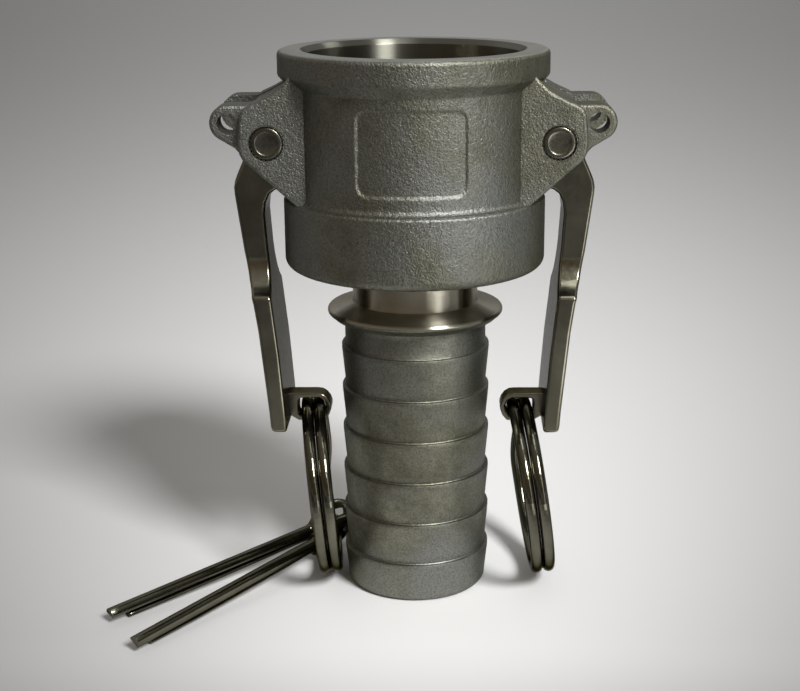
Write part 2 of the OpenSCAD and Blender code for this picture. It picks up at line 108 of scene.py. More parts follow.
# Colours
CAST_LIGHT, CAST_DARK = (0.252, 0.252, 0.196), (0.162, 0.159, 0.117)
CAST_GREY, CAST_PIT = (0.252, 0.261, 0.24), (0.06, 0.058, 0.043)
# painted highlight: the lighter colour of the rim's top face
RIM_TOP_HIGHLIGHT = (0.44, 0.44, 0.41)
TURNED_LIGHT, TURNED_DARK = (0.56, 0.53, 0.44), (0.46, 0.43, 0.35)
# painted shade: the darker colour of the bore inside the cup
BORE_PAINTED_SHADE = (0.205, 0.203, 0.17)
LEVER_LIGHT, LEVER_DARK = (0.27, 0.255, 0.195), (0.19, 0.18, 0.13)
WIRE_LIGHT, WIRE_DARK = (0.175, 0.17, 0.13), (0.125, 0.12, 0.09)
PIN_LIGHT, PIN_DARK = (0.21, 0.205, 0.16), (0.15, 0.145, 0.115)
RUBBER_DARK, RUBBER_DUST = (0.018, 0.018, 0.018), (0.04, 0.04, 0.038)
ROOM_LEFT, ROOM_RIGHT, ROOM_UP = (0.19, 0.125, 0.07), (0.11, 0.113, 0.10), (0.36, 0.36, 0.35)
ROOM_BEHIND, HORIZON = (0.46, 0.46, 0.455), (0.33, 0.33, 0.33)
PAPER = 1.03

# Heights in metres at which the finish of the casting changes, where the painted highlight on the rim's top
# starts and where the painted shade of the bore starts
RIM_HIGHLIGHT_FROM, RIM_HIGHLIGHT_FULL = 0.09975, 0.09995
SMOOTH_BELOW, ROUGH_ABOVE = 0.052, 0.060
NECK_BELOW, BORE_SHADE_ABOVE = 0.061, 0.063

BEVEL = {"affect": "EDGES", "profile": 0.5, "material": -1}
SAME_PLANE = math.radians(1.0)


# Mesh tools
def arc(x, y, r, start, stop, steps):
    """Points on an arc in a flat plane, with angles in degrees."""
    out = []
    for i in range(steps + 1):
        a = math.radians(start + (stop - start) * i / steps)
        out.append((x + r * math.cos(a), y + r * math.sin(a)))
    return out


def smoothed(t):
    """A ramp from 0 to 1 that starts and ends gently."""
    t = min(max(t, 0), 1)
    return t * t * (3 - 2 * t)


def from_pin(points, side=1):
    """Points measured from the lever's pin, set where the pin is on one side."""
    return [(side * (PIVOT_X + x), PIVOT_Z + z) for x, z in points]


def piece(name, bm, body, replaced, material, sharp):
    """Turns a bmesh in millimetres into a piece that rides on a body."""
    bmesh.ops.scale(bm, vec=(MM, MM, MM), verts=bm.verts)
    mesh = bpy.data.meshes.new(name)
    for face in bm.faces:
        face.smooth = True
    bm.to_mesh(mesh)
    bm.free()
    mesh.set_sharp_from_angle(angle=math.radians(sharp))
    mesh.materials.append(material)
    obj = bpy.data.objects.new(name, mesh)
    bpy.context.scene.collection.objects.link(obj)
    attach(obj, body)
    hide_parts(replaced)
    return obj


def shade(obj):
    """Lets the large flat faces lead the shading of the rounded edges next to them."""
    mod = obj.modifiers.new("shading", "WEIGHTED_NORMAL")
    mod.keep_sharp = True
    mod.weight = 90


def pulled(bm, points, way):
    """Draws a flat face through points and pulls it along a direction."""
    face = bm.faces.new([bm.verts.new(point) for point in points])
    made = bmesh.ops.extrude_face_region(bm, geom=[face])
    far = [v for v in made["geom"] if isinstance(v, bmesh.types.BMVert)]
    bmesh.ops.translate(bm, verts=far, vec=way)
    return bm


def prism(points, y0, y1):
    """A bmesh raised from an outline in the XZ plane, between two values of y."""
    bm = pulled(bmesh.new(), [(x, y0, z) for x, z in points], (0, y1 - y0, 0))
    bmesh.ops.recalc_face_normals(bm, faces=bm.faces)
    return bm


def rod(x, z, r, y0, y1, segments=48):
    """A bmesh cylinder along Y."""
    return prism(arc(x, z, r, 0, 360, segments)[:-1], y0, y1)


def flipped(bm, way):
    """The same bmesh mirrored by a scale that holds one -1."""
    bmesh.ops.scale(bm, vec=way, verts=bm.verts)
    bmesh.ops.reverse_faces(bm, faces=bm.faces)
    return bm


def combine(base, cutters, operation):
    """Joins, cuts or intersects one bmesh with others, and returns the result."""
    def loose(bm, name):
        mesh = bpy.data.meshes.new(name)
        bm.to_mesh(mesh)
        bm.free()
        obj = bpy.data.objects.new(name, mesh)
        bpy.context.scene.collection.objects.link(obj)
        return obj

    shape = loose(base, "shape")
    tools = [loose(c, "tool") for c in cutters]
    for tool in tools:
        mod = shape.modifiers.new("cut", "BOOLEAN")
        mod.operation = operation
        mod.solver = "EXACT"
        mod.object = tool
    graph = bpy.context.evaluated_depsgraph_get()
    out = bmesh.new()
    out.from_mesh(shape.evaluated_get(graph).to_mesh())
    for obj in [shape, *tools]:
        mesh = obj.data
        bpy.data.objects.remove(obj)
        bpy.data.meshes.remove(mesh)
    bmesh.ops.remove_doubles(out, verts=out.verts, dist=1e-4)
    return out


def soften(bm, width, segments, angle, keep=None, clamp=True):
    """Rounds every edge sharper than the angle, or those of them that keep picks."""
    bmesh.ops.dissolve_limit(bm, angle_limit=SAME_PLANE, verts=bm.verts, edges=bm.edges)
    picked = []
    for e in bm.edges:
        if len(e.link_faces) == 2 and e.calc_face_angle(0) > math.radians(angle):
            if keep is None or keep(e):
                picked.append(e)
    bmesh.ops.bevel(bm, geom=picked, offset=width, segments=segments, clamp_overlap=clamp, **BEVEL)
    return bm


def joined(*parts):
    """One bmesh that holds several."""
    out = bmesh.new()
    for bm in parts:
        mesh = bpy.data.meshes.new("part")
        bm.to_mesh(mesh)
        bm.free()
        out.from_mesh(mesh)
        bpy.data.meshes.remove(mesh)
    return out


def frame_at(point, out, side):
    """A section's frame: its x axis along out, its y axis along side."""
    ahead = out.cross(side)
    return Matrix((
        (out.x, side.x, ahead.x, point.x),
        (out.y, side.y, ahead.y, point.y),
        (out.z, side.z, ahead.z, point.z),
        (0, 0, 0, 1),
    ))


def sweep(bm, frames):
    """Carries the one face of a bmesh, drawn in the XY plane, along a row of frames."""
    face = bm.faces[:][0]
    bmesh.ops.transform(bm, matrix=frames[0], verts=bm.verts)
    for here, there in zip(frames, frames[1:]):
        made = bmesh.ops.extrude_face_region(bm, geom=[face])
        moved = [v for v in made["geom"] if isinstance(v, bmesh.types.BMVert)]
        face = next(f for f in made["geom"] if isinstance(f, bmesh.types.BMFace))
        bmesh.ops.transform(bm, matrix=there @ here.inverted(), verts=moved)
    bmesh.ops.recalc_face_normals(bm, faces=bm.faces)
    ends = [e for f in bm.faces if len(f.verts) > 4 for e in f.edges]
    bmesh.ops.bevel(bm, geom=ends, offset=0.18, segments=2, clamp_overlap=True, **BEVEL)
    return bm


# Material tools
def material(name):
    """A new material with its node tree and shader."""
    mat = bpy.data.materials.new(name)
    mat.use_nodes = True
    tree = mat.node_tree
    return mat, tree, tree.nodes["Principled BSDF"]


def metal(name, glance):
    """A metal that reflects less than a clean one at a glancing angle."""
    mat, tree, shader = material(name)
    shader.inputs["Metallic"].default_value = 1.0
    shader.inputs["Specular Tint"].default_value = (glance, glance, glance, 1.0)
    return mat, tree, shader


class Graph:
    """Short calls for building a node tree."""

    def __init__(self, tree):
        self.tree = tree
        self.where = self.node("ShaderNodeTexCoord").outputs["Object"]

    def node(self, kind, **props):
        """A node of one kind, with its properties set."""
        n = self.tree.nodes.new(kind)
        for key, value in props.items():
            setattr(n, key, value)
        return n

    def link(self, a, b):
        """Joins an output to an input."""
        self.tree.links.new(a, b)

    def feed(self, value, socket):
        """Links an output to a socket, or sets the socket to a number or a colour."""
        if isinstance(value, tuple):
            socket.default_value = (*value, 1.0)
        elif isinstance(value, (int, float)):
            socket.default_value = value
        else:
            self.link(value, socket)

    def axes(self, vector):
        """The x, y and z of a vector."""
        split = self.node("ShaderNodeSeparateXYZ")
        self.link(vector, split.inputs[0])
        return split.outputs[0], split.outputs[1], split.outputs[2]

    def math(self, op, a, b):
        """A sum on two values."""
        n = self.node("ShaderNodeMath", operation=op)
        self.feed(a, n.inputs[0])
        self.feed(b, n.inputs[1])
        return n.outputs[0]

    def noise(self, scale, detail, rough, stretch=None):
        """Noise on Object coordinates, stretched along the axes where asked."""
        n = self.node("ShaderNodeTexNoise")
        n.inputs["Scale"].default_value = scale
        n.inputs["Detail"].default_value = detail
        n.inputs["Roughness"].default_value = rough
        where = self.where
        if stretch:
            mapping = self.node("ShaderNodeMapping")
            mapping.inputs["Scale"].default_value = stretch
            self.link(where, mapping.inputs["Vector"])
            where = mapping.outputs["Vector"]
        self.link(where, n.inputs["Vector"])
        return n.outputs["Fac"]

    def spread(self, value, low, high, to_low=0.0, to_high=1.0, smooth=False):
        """Maps one range to another, and stops at its ends."""
        n = self.node("ShaderNodeMapRange")
        if smooth:
            n.interpolation_type = "SMOOTHSTEP"
        n.inputs["From Min"].default_value = low
        n.inputs["From Max"].default_value = high
        n.inputs["To Min"].default_value = to_low
        n.inputs["To Max"].default_value = to_high
        self.link(value, n.inputs["Value"])
        return n.outputs["Result"]

    def mix(self, fac, a, b):
        """A colour between two."""
        n = self.node("ShaderNodeMix", data_type="RGBA")
        self.feed(fac, n.inputs[0])
        self.feed(a, n.inputs[6])
        self.feed(b, n.inputs[7])
        return n.outputs[2]

    def bump(self, height, strength, distance):
        """A normal from a height."""
        n = self.node("ShaderNodeBump")
        n.inputs["Strength"].default_value = strength
        n.inputs["Distance"].default_value = distance
        self.link(height, n.inputs["Height"])
        return n.outputs["Normal"]


# Finishes
def cast_steel():
    """Blasted casting: olive grey, mottled, with a fine uneven grain."""
    mat, tree, shader = metal("cast_steel", 0.45)
    g = Graph(tree)
    grain = g.noise(2900, 2.0, 0.65)
    dents = g.noise(1150, 2.0, 0.5)
    patches = g.noise(170, 5.0, 0.7)
    stain = g.noise(45, 3.0, 0.55)
    height_on_part = g.axes(g.where)[2]
    olive = g.mix(g.spread(patches, 0.38, 0.62), CAST_LIGHT, CAST_DARK)
    grey = g.mix(g.spread(stain, 0.42, 0.62), olive, CAST_GREY)
    speckled = g.mix(g.spread(grain, 0.6, 0.2, 0.0, 0.7), grey, CAST_PIT)
    g.link(g.spread(patches, 0.3, 0.7, 0.42, 0.54), shader.inputs["Roughness"])
    # the rim's top face gets a lighter colour, a painted highlight, and the shank is smoother than the cup
    rim_top_highlight = g.spread(height_on_part, RIM_HIGHLIGHT_FROM, RIM_HIGHLIGHT_FULL)
    g.link(g.mix(rim_top_highlight, speckled, RIM_TOP_HIGHLIGHT), shader.inputs["Base Color"])
    relief = g.spread(height_on_part, SMOOTH_BELOW, ROUGH_ABOVE, 0.35, 1.0)
    rough = g.math("ADD", grain, g.math("MULTIPLY", dents, 0.8))
    g.link(g.bump(g.math("MULTIPLY", rough, relief), 1.0, 0.00014), shader.inputs["Normal"])
    return mat


def turned_steel():
    """Lathe finish: streaks run round the axis, so reflections stretch across them."""
    mat, tree, shader = metal("turned_steel", 0.6)
    g = Graph(tree)
    x, y, z = g.axes(g.where)
    around = g.node("ShaderNodeCombineXYZ")
    g.link(g.math("MULTIPLY", y, -1.0), around.inputs[0])
    g.link(x, around.inputs[1])
    across = g.node("ShaderNodeVectorMath", operation="CROSS_PRODUCT")
    g.link(g.node("ShaderNodeNewGeometry").outputs["Normal"], across.inputs[0])
    g.link(around.outputs[0], across.inputs[1])
    unit = g.node("ShaderNodeVectorMath", operation="NORMALIZE")
    g.link(across.outputs[0], unit.inputs[0])
    g.link(unit.outputs[0], shader.inputs["Tangent"])
    streaks = g.noise(1.0, 2.0, 0.6, stretch=(60, 60, 2600))
    cloud = g.noise(150, 3.0, 0.55)
    neck = g.mix(g.spread(cloud, 0.35, 0.65), TURNED_LIGHT, TURNED_DARK)
    # the bore inside the cup takes a darker colour than the neck, as painted shade
    g.link(g.mix(g.spread(z, NECK_BELOW, BORE_SHADE_ABOVE), neck, BORE_PAINTED_SHADE), shader.inputs["Base Color"])
    shader.inputs["Anisotropic"].default_value = 1.0
    g.link(g.spread(streaks, 0.3, 0.7, 0.28, 0.35), shader.inputs["Roughness"])
    return mat


def polished_steel(name, light, dark, rough, grain_scale, bump):
    """Smooth metal with faint clouds in its colour and a fine grain in its gloss."""
    mat, tree, shader = metal(name, 0.2)
    g = Graph(tree)
    cloud = g.noise(140, 3.0, 0.55)
    grain = g.noise(grain_scale, 3.0, 0.6)
    g.link(g.mix(g.spread(cloud, 0.35, 0.65), light, dark), shader.inputs["Base Color"])
    g.link(g.spread(grain, 0.3, 0.7, *rough), shader.inputs["Roughness"])
    g.link(g.bump(grain, bump, 0.00006), shader.inputs["Normal"])
    return mat


def gasket_rubber():
    """Black rubber with a little dust."""
    mat, tree, shader = material("gasket_rubber")
    g = Graph(tree)
    dust = g.noise(500, 3.0, 0.6)
    g.link(g.mix(g.spread(dust, 0.4, 0.7), RUBBER_DARK, RUBBER_DUST), shader.inputs["Base Color"])
    shader.inputs["Roughness"].default_value = 0.55
    g.link(g.bump(dust, 0.3, 0.00005), shader.inputs["Normal"])
    return mat


CAST = cast_steel()
TURNED = turned_steel()
LEVER_STEEL = polished_steel("lever_steel", LEVER_LIGHT, LEVER_DARK, (0.17, 0.25), 1100, 0.10)
WIRE_STEEL = polished_steel("wire_steel", WIRE_LIGHT, WIRE_DARK, (0.10, 0.18), 900, 0.08)
PIN_STEEL = polished_steel("pin_steel", PIN_LIGHT, PIN_DARK, (0.22, 0.34), 1800, 0.25)
RUBBER = gasket_rubber()

NODE_FINISH = {
    "coupler_body": CAST, "gasket": RUBBER, "lever_left": LEVER_STEEL, "lever_right": LEVER_STEEL,
    "lever_pin_left": PIN_STEEL, "lever_pin_right": PIN_STEEL, "pull_ring_left": WIRE_STEEL,
    "pull_ring_right": WIRE_STEEL, "safety_pin_1": WIRE_STEEL, "safety_pin_2": WIRE_STEEL,
}
for node, finish in NODE_FINISH.items():
    slots = nodes[node].data.materials
    for i in range(len(slots)):
        slots[i] = finish
    if not slots:
        slots.append(finish)


# The casting
def outer_profile():
    """The casting's outside from the foot to the rim, as radius and height."""
    line = [(THROUGH_R + 0.4, 0)]
    line += arc(ROOT_R + 0.1 - FOOT_ROUND, FOOT_ROUND, FOOT_ROUND, -90, 0, 6)
    line.append((ROOT_R + 0.1, 1.6))
    for k in range(BARBS - 1, -1, -1):
        z = BARB_TOP - k * BARB_PITCH
        line += [(BARB_R, z - BARB_LAND), (BARB_R, z - 0.12), (BARB_R - 0.04, z - 0.03)]
        line += [(BARB_R - 0.12, z), (ROOT_R + 0.1, z + 0.04), (ROOT_R + 0.02, z + 0.16)]
    line += [(ROOT_R, FLANGE_Z - 1.2), (ROOT_R + 0.1, FLANGE_Z - 0.5), (ROOT_R + 0.24, FLANGE_Z - 0.2)]
    line += [(ROOT_R + 0.5, FLANGE_Z), (FLANGE_R - 1.6, FLANGE_Z + 0.3), (FLANGE_R - 1.1, FLANGE_Z + 0.48)]
    line += arc(FLANGE_R - FLANGE_LIP, NECK_Z - 1.05 - FLANGE_LIP, FLANGE_LIP, -70, 75, 10)
    line += [(FLANGE_R - 0.75, NECK_Z - 1.03), (NECK_R + 0.25, NECK_Z), (NECK_R + 0.08, NECK_Z + 0.08)]
    line += [(NECK_R, NECK_Z + 0.25), (NECK_R, CUP_Z - SHOULDER_H), (SHOULDER_R - 0.2, CUP_Z - SHOULDER_H)]
    line += [(SHOULDER_R, CUP_Z - 2.2), (SHOULDER_R, CUP_Z - 0.15), (SHOULDER_R + 0.15, CUP_Z)]
    line += arc(BAND_R - BAND_ROUND, CUP_Z + BAND_ROUND, BAND_ROUND, -90, 0, 12)
    line += [(BAND_R, CUP_Z + 6)]
    line += arc(BAND_R - LEDGE_ROUND, CUP_Z + BAND_H - LEDGE_ROUND, LEDGE_ROUND, 0, 75, 7)
    line += arc(CUP_R + LEDGE_HOLLOW, CUP_Z + BAND_H + 1.15, LEDGE_HOLLOW, 262, 180, 6)
    under = RIM_Z - RIM_H - RIM_UNDER
    z = WALL_FROM
    while z < under - 0.4:
        line.append((CUP_R, z))
        z += WALL_STEP
    line += [(CUP_R, under - 0.3), (CUP_R + 0.04, under - 0.15), (CUP_R + 0.16, under - 0.02)]
    line += [(CUP_R + 0.24, under + 0.16)]
    lean = math.degrees(math.atan2(RIM_R - CUP_R, RIM_UNDER))
    low = RIM_Z - RIM_H + RIM_LOW_ROUND * math.tan(math.radians(lean / 2))
    line += arc(RIM_R - RIM_LOW_ROUND, low, RIM_LOW_ROUND, -lean, 0, 6)
    line += arc(RIM_R - RIM_TOP_ROUND, RIM_Z - RIM_TOP_ROUND, RIM_TOP_ROUND, 0, 90, 8)
    return line


def inner_profile():
    """The casting's inside from the rim down to the foot."""
    line = [(BORE_R + MOUTH + 0.12, RIM_Z), (BORE_R + MOUTH - 0.06, RIM_Z - 0.07)]
    line += [(LAND_R + 0.05, RIM_Z - 0.9), (LAND_R, RIM_Z - 1.0), (LAND_R, LAND_Z), (BORE_R, LAND_Z)]
    line += [(BORE_R, GROOVE_TOP), (GROOVE_R, GROOVE_TOP), (GROOVE_R, SEAT_Z), (THROUGH_R, SEAT_Z)]
    line += [(THROUGH_R, 0.4)]
    return line


def press_panel(bm):
    """Presses the cast panel, a shallow recess with soft walls, into the front wall."""
    top = RIM_Z - RIM_H - RIM_UNDER - 0.35
    for v in bm.verts:
        x, y, z = v.co
        r = math.hypot(x, y)
        if y > 0 or abs(r - CUP_R) > 0.01 or not WALL_FROM < z < top:
            continue
        dx = abs(x) - (PANEL_W / 2 - PANEL_R)
        dz = abs(z - PANEL_Z) - (PANEL_H / 2 - PANEL_R)
        inside_by = PANEL_R - (math.hypot(max(dx, 0), max(dz, 0)) + min(max(dx, dz), 0))
        deep = PANEL_DEEP * smoothed((inside_by + 0.1) / PANEL_SLOPE)
        v.co.x = x * (r - deep) / r
        v.co.y = y * (r - deep) / r


def turned_shape():
    """The cup, neck and shank turned about Z, with the panel and the windows for the cams."""
    bm = bmesh.new()
    line = [bm.verts.new((r, 0, z)) for r, z in outer_profile() + inner_profile()]
    edges = [bm.edges.new(pair) for pair in zip(line, line[1:] + line[:1])]
    about = {"cent": (0, 0, 0), "axis": (0, 0, 1)}
    # the front is turned in fine steps, for the panel
    turn = Matrix.Rotation(math.radians(-90 - FRONT_DEG / 2), 4, "Z")
    bmesh.ops.transform(bm, matrix=turn, verts=bm.verts)
    fine = bmesh.ops.spin(bm, geom=line + edges, angle=math.radians(FRONT_DEG), steps=FRONT_STEPS, **about)
    rest = math.radians(360 - FRONT_DEG)
    bmesh.ops.spin(bm, geom=fine["geom_last"], angle=rest, steps=REST_STEPS, **about)
    bmesh.ops.remove_doubles(bm, verts=bm.verts, dist=1e-3)
    bmesh.ops.recalc_face_normals(bm, faces=bm.faces)
    press_panel(bm)
    half = EARS_GAP / 2
    way = math.degrees(math.asin(CAM_SLOT / CAM_ROOM))
    cutters = []
    for side in (1, -1):
        cutters.append(prism(from_pin(arc(0, 0, HUB_ROOM, 0, 360, 48)[:-1], side), -half, half))
        swept = arc(0, 0, CAM_ROOM, 180 - way, 360 + way, 60)
        cutters.append(prism(from_pin(swept, side), -half, half))
    return combine(bm, cutters, "DIFFERENCE")


def ears(side):
    """The two ears of one side with their lugs, and the web between them."""
    inner, outer = EARS_GAP / 2, EARS_W / 2
    step = outer - LUG_STEP
    lug_x, lug_z = PIVOT_X + LUG_AT[0], PIVOT_Z + LUG_AT[1]
    lug = LUG_ABOVE + arc(*LUG_AT, LUG_R, 90, -55, 18) + LUG_BELOW
    parts = []
    for way in (1, -1):
        bm = prism(from_pin(EAR), inner, outer)
        bm = soften(bm, 0.6, 4, 40, keep=lambda e: all(v.co.y > outer - 0.01 for v in e.verts))
        nose = prism(from_pin(lug), inner, step)
        nose = soften(nose, 0.65, 4, 40, keep=lambda e: all(v.co.y > step - 0.01 for v in e.verts))
        nose = combine(nose, [rod(lug_x, lug_z, LUG_HOLE_R, 3, 13)], "DIFFERENCE")
        bm = combine(bm, [nose], "UNION")
        bore = rod(PIVOT_X, PIVOT_Z, PIN_R, 3, 13, 72)
        flare = rod(PIVOT_X, PIVOT_Z, PIN_R + 0.25, outer - 0.12, outer + 0.5, 72)
        bm = combine(bm, [bore, flare, rod(lug_x, lug_z, LUG_HOLE_R, 3, 13)], "DIFFERENCE")
        # the inner end stays inside the cup's wall
        end = Vector(EAR_END_WAY).normalized()
        everything = bm.verts[:] + bm.edges[:] + bm.faces[:]
        bmesh.ops.bisect_plane(bm, geom=everything, plane_co=(WALL_INSIDE_X, inner, 0), plane_no=-end,
                               clear_outer=True)
        bmesh.ops.holes_fill(bm, edges=[e for e in bm.edges if e.is_boundary])
        parts.append(flipped(bm, (1, -1, 1)) if way < 0 else bm)
    web = WEB_ABOVE + arc(0, 0, WEB_HOLLOW, 59.5, 124.4, 14) + [WEB_FOOT]
    parts.append(prism(from_pin(web), -WEB_W / 2, WEB_W / 2))
    bm = joined(*parts)
    return bm if side > 0 else flipped(bm, (-1, 1, 1))


def is_turned(face):
    """Whether a face of the casting was finished on the lathe."""
    at = face.calc_center_median()
    r = math.hypot(at.x, at.y)
    in_cup = at.z > SEAT_Z - 0.01 and r < GROOVE_R + 0.02
    on_neck = FLANGE_Z + 1.8 < at.z < CUP_Z - 0.01 and r < FLANGE_R + 0.1
    return in_cup or on_neck or r < THROUGH_R + 0.42


def casting():
    """The whole casting as one piece with two finishes."""
    bm = joined(turned_shape(), ears(1), ears(-1))
    for face in bm.faces:
        face.material_index = int(is_turned(face))
    obj = piece("coupler_casting", bm, "coupler", "coupler_body", CAST, 38)
    obj.data.materials.append(TURNED)
    shade(obj)


# Levers and their pins
def lever_front():
    """The lever's outline seen from outside: a narrow arm that flares out to the handle."""
    h, n, q, r = HANDLE_W / 2, LEVER_W / 2, FLARE_END_R, FLARE_R
    # the scoop's arc runs into the handle's side by a smaller arc the other way round
    turn = math.degrees(math.acos((n + r - h + q) / (r + q)))
    low = FLARE_Z - (r + q) * math.sin(math.radians(turn))
    flare = arc(n + r, FLARE_Z, r, 180, 180 + turn, 14) + arc(h - q, low, q, turn, 0, 6)[1:]
    front = [(-n, 12), (n, 12)] + flare + [(h, -ARM_LEN), (-h, -ARM_LEN)]
    return front + [(-y, z) for y, z in reversed(flare)]


def lever_eye(side):
    """The strap at the handle's foot with its hole for the ring."""
    half_x, half_z = EYE_HALF
    a, b = half_x + EYE_WALL, half_z + EYE_WALL
    outline = [
        (4.8, b), (-a + 2.6, b), (-a + 1.7, b - 0.12), (-a + 0.9, b - 0.65), (-a + 0.3, b - 1.5),
        (-a, b - 2.4), (-a + 0.05, -b + 2.2), (-a + 0.5, -b + 1.0), (-a + 1.3, -b), (2.6, -b),
        (4.8, -b + 1.3),
    ]
    a, b = half_x, half_z
    hole = [
        (a, b - 0.4), (a - 0.4, b), (-a + 1.3, b), (-a + 0.4, b - 0.55), (-a, b - 1.5),
        (-a + 0.15, -b + 1), (-a + 0.8, -b), (a - 0.4, -b), (a, -b + 0.4),
    ]
    x, z = EYE_AT
    strap = prism(from_pin([(x + u, z + w) for u, w in outline], side), -EYE_W / 2, EYE_W / 2)
    cut = prism(from_pin([(x + u, z + w) for u, w in hole], side), -EYE_W, EYE_W)
    return soften(combine(strap, [cut], "DIFFERENCE"), 0.42, 4, 40)


def lever(side):
    """One cam lever: hub, cam, arm, handle and eye."""
    wrap = math.degrees(math.acos((HUB_R - CAM_R) / math.hypot(*CAM_AT)))
    start = math.degrees(math.atan2(CAM_AT[1], CAM_AT[0])) - wrap
    outline = arc(0, 0, HUB_R, start, -30, 40) + LEVER_SIDE + arc(*CAM_AT, CAM_R, 248, start, 24)
    blank = prism(from_pin(outline, side), -HANDLE_W / 2, HANDLE_W / 2)
    plate = pulled(bmesh.new(), [(10, y, PIVOT_Z + z) for y, z in lever_front()], (30, 0, 0))
    if side < 0:
        bmesh.ops.scale(plate, vec=(-1, 1, 1), verts=plate.verts)
    bmesh.ops.recalc_face_normals(plate, faces=plate.faces)
    bm = combine(blank, [plate], "INTERSECT")
    bm = soften(bm, 0.6, 5, 30, clamp=False)
    bm = combine(bm, [lever_eye(side)], "UNION")
    bm = combine(bm, [rod(side * PIVOT_X, PIVOT_Z, PIN_R, -6, 6)], "DIFFERENCE")
    name = "lever_right" if side > 0 else "lever_left"
    body = "right_lever" if side > 0 else "left_lever"
    shade(piece(name + "_casting", bm, body, name, LEVER_STEEL, 40))


def dished_end():
    """The end face of a lever pin, looking along Y, with its dish."""
    profile = [(DISC_R, -1), (DISC_R, -0.2), (2.65, -0.08), (2.52, 0), (2.25, 0)]
    for q in range(0, 91, 9):
        a = math.radians(q)
        profile.append((DISH_R * math.cos(a), -DISH_DEEP * math.sin(a)))
    end = bmesh.new()
    line = [end.verts.new((x, y, 0)) for x, y in profile]
    edges = [end.edges.new(pair) for pair in zip(line, line[1:])]
    bmesh.ops.spin(end, geom=line + edges, cent=(0, 0, 0), axis=(0, 1, 0), angle=2 * math.pi,
                   steps=72, use_merge=True)
    bmesh.ops.remove_doubles(end, verts=end.verts, dist=1e-4)
    bmesh.ops.contextual_create(end, geom=[e for e in end.edges if e.is_boundary])
    bmesh.ops.recalc_face_normals(end, faces=end.faces)
    return end


def lever_pin(side):
    """A pin with splined ends and dished faces."""
    parts = [rod(side * PIVOT_X, PIVOT_Z, PIN_R - 0.05, -6, 6)]
    half = EARS_W / 2 - 0.3
    count = 4 * SPLINES
    crests = []
    for i in range(count):
        r = SPLINE_CREST if i % 4 in (0, 1) else SPLINE_ROOT
        a = 2 * math.pi * (i + 0.5) / count
        crests.append((side * PIVOT_X + r * math.cos(a), PIVOT_Z + r * math.sin(a)))
    for way in (-1, 1):
        parts.append(prism(crests, way * (half - 6), way * (half - 0.4)))
        end = dished_end()
        if way < 0:
            end = flipped(end, (1, -1, 1))
        bmesh.ops.translate(end, verts=end.verts, vec=(side * PIVOT_X, way * half, PIVOT_Z))
        parts.append(end)
    name = "lever_pin_right" if side > 0 else "lever_pin_left"
    piece(name + "_bar", joined(*parts), "coupler", name, PIN_STEEL, 35)


# Rings and safety pins
def split_ring(start):
    """Two turns of wire about the X axis, with the crossing at the given angle."""
    def side_of(t):
        if t < CROSSING_FROM:
            return -WIRE_GAP
        if t > CROSSING_TO:
            return WIRE_GAP
        return -WIRE_GAP * math.cos(math.pi * (t - CROSSING_FROM) / (CROSSING_TO - CROSSING_FROM))

    frames = []
    for k in range(RING_STEPS + 1):
        t = RING_FROM + RING_TURNED * k / RING_STEPS
        a = math.radians(start + t)
        out = Vector((0, math.sin(a), -math.cos(a)))
        frames.append(frame_at(out * RING_R + Vector((side_of(t), 0, 0)), out, Vector((1, 0, 0))))
    bm = bmesh.new()
    bmesh.ops.create_circle(bm, cap_ends=True, segments=20, radius=WIRE / 2)
    return sweep(bm, frames)


def pull_ring(name, side, lean, turn, start):
    """A split ring that hangs from its lever's eye, leaning and turned by some degrees."""
    eye = Vector((side * (PIVOT_X + EYE_AT[0]), 0, PIVOT_Z + EYE_AT[1]))
    place = (
        Matrix.Translation(eye)
        @ Matrix.Rotation(math.radians(-side * lean), 4, "Y")
        @ Matrix.Rotation(math.radians(turn), 4, "Z")
        @ Matrix.Translation((0, 0, -RING_R))
    )
    bm = split_ring(start)
    bmesh.ops.transform(bm, matrix=place, verts=bm.verts)
    body = "left_ring" if side < 0 else "right_ring"
    piece(name + "_wire", bm, body, name, WIRE_STEEL, 50)


def split_path(spread):
    """Points and outward directions along a folded pin: leg, bend, eye, bend, shorter leg."""
    r, bend, off = SPLIT_EYE_R, SPLIT_BEND, SPLIT_APART
    x = math.sqrt((r + bend) ** 2 - (off + bend) ** 2)
    y = off + bend
    a = math.atan2(y, x)
    path = []
    for i in range(24):
        path.append((x + (SPLIT_LEN - x) * (1 - i / 24), off, 0, 1))
    for i in range(13):
        b = -math.pi / 2 - (math.pi / 2 - a) * i / 12
        path.append((x + bend * math.cos(b), y + bend * math.sin(b), -math.cos(b), -math.sin(b)))
    for i in range(1, 48):
        b = a + (2 * math.pi - 2 * a) * i / 48
        path.append((r * math.cos(b), r * math.sin(b), math.cos(b), math.sin(b)))
    for i in range(12, -1, -1):
        b = math.pi / 2 + (math.pi / 2 - a) * i / 12
        path.append((x + bend * math.cos(b), -y + bend * math.sin(b), -math.cos(b), -math.sin(b)))
    for i in range(1, 25):
        u = i / 24
        out = off + spread * math.sin(math.pi * 0.8 * u)
        path.append((x + (SPLIT_LEN - SPLIT_SHORTER - x) * u, -out, 0, -1))
    return path


def half_round():
    """The section of half round wire, its flat side rounded at the edges."""
    t = SPLIT_THICK
    bm = bmesh.new()
    bmesh.ops.create_circle(bm, cap_ends=True, segments=32, radius=1)
    bmesh.ops.scale(bm, vec=(t, SPLIT_HALF_W, 1), verts=bm.verts)
    everything = bm.verts[:] + bm.edges[:] + bm.faces[:]
    bmesh.ops.bisect_plane(bm, geom=everything, plane_co=(0.12, 0, 0), plane_no=(-1, 0, 0), clear_outer=True)
    bmesh.ops.translate(bm, verts=bm.verts, vec=(-t / 2, 0, 0))
    flat = [v for v in bm.verts if v.co.x < 0.13 - t / 2]
    bmesh.ops.bevel(bm, geom=flat, offset=0.22, segments=3, affect="VERTICES", profile=0.5, material=-1)
    return bm


